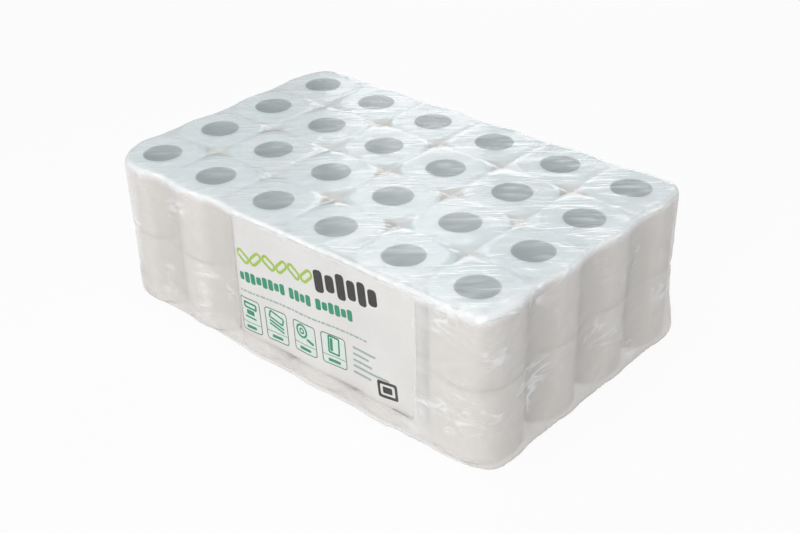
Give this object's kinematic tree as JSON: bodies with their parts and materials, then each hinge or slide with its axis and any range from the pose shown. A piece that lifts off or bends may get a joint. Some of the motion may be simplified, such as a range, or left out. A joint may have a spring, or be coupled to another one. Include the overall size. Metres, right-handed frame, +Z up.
{
  "type": "toilet paper roll pack",
  "caption": "Soft paper rolls on end in two layers, held as one block by taut clear film with a printed sheet under it",
  "frame": {"origin": "middle of the flat underside of the film, on the surface the pack rests on", "axes": "+X along the rows, the longest side; -Y towards the face with the printed sheet; +Z up, along the rolls' axes"},
  "size_m": [0.644, 0.406, 0.2043],
  "materials": {
    "tissue": "soft matt",
    "core_board": "matt",
    "clear_film": "clear and glossy, with fine wrinkles",
    "printed_sheet": "smooth matt with simple printed shapes"
  },
  "bodies": {
    "root": {"film_wrap": "clear_film", "label_sheet": "printed_sheet", "lower_cores_a": "core_board", "lower_cores_b": "core_board", "lower_cores_c": "core_board", "lower_cores_d": "core_board", "lower_roll_a1": "tissue", "lower_roll_a2": "tissue", "lower_roll_a3": "tissue", "lower_roll_a4": "tissue", "lower_roll_a5": "tissue", "lower_roll_a6": "tissue", "lower_roll_b1": "tissue", "lower_roll_b2": "tissue", "lower_roll_b3": "tissue", "lower_roll_b4": "tissue", "lower_roll_b5": "tissue", "lower_roll_b6": "tissue", "lower_roll_c1": "tissue", "lower_roll_c2": "tissue", "lower_roll_c3": "tissue", "lower_roll_c4": "tissue", "lower_roll_c5": "tissue", "lower_roll_c6": "tissue", "lower_roll_d1": "tissue", "lower_roll_d2": "tissue", "lower_roll_d3": "tissue", "lower_roll_d4": "tissue", "lower_roll_d5": "tissue", "lower_roll_d6": "tissue", "upper_cores_a": "core_board", "upper_cores_b": "core_board", "upper_cores_c": "core_board", "upper_cores_d": "core_board", "upper_roll_a1": "tissue", "upper_roll_a2": "tissue", "upper_roll_a3": "tissue", "upper_roll_a4": "tissue", "upper_roll_a5": "tissue", "upper_roll_a6": "tissue", "upper_roll_b1": "tissue", "upper_roll_b2": "tissue", "upper_roll_b3": "tissue", "upper_roll_b4": "tissue", "upper_roll_b5": "tissue", "upper_roll_b6": "tissue", "upper_roll_c1": "tissue", "upper_roll_c2": "tissue", "upper_roll_c3": "tissue", "upper_roll_c4": "tissue", "upper_roll_c5": "tissue", "upper_roll_c6": "tissue", "upper_roll_d1": "tissue", "upper_roll_d2": "tissue", "upper_roll_d3": "tissue", "upper_roll_d4": "tissue", "upper_roll_d5": "tissue", "upper_roll_d6": "tissue"}
  },
  "joints": []
}
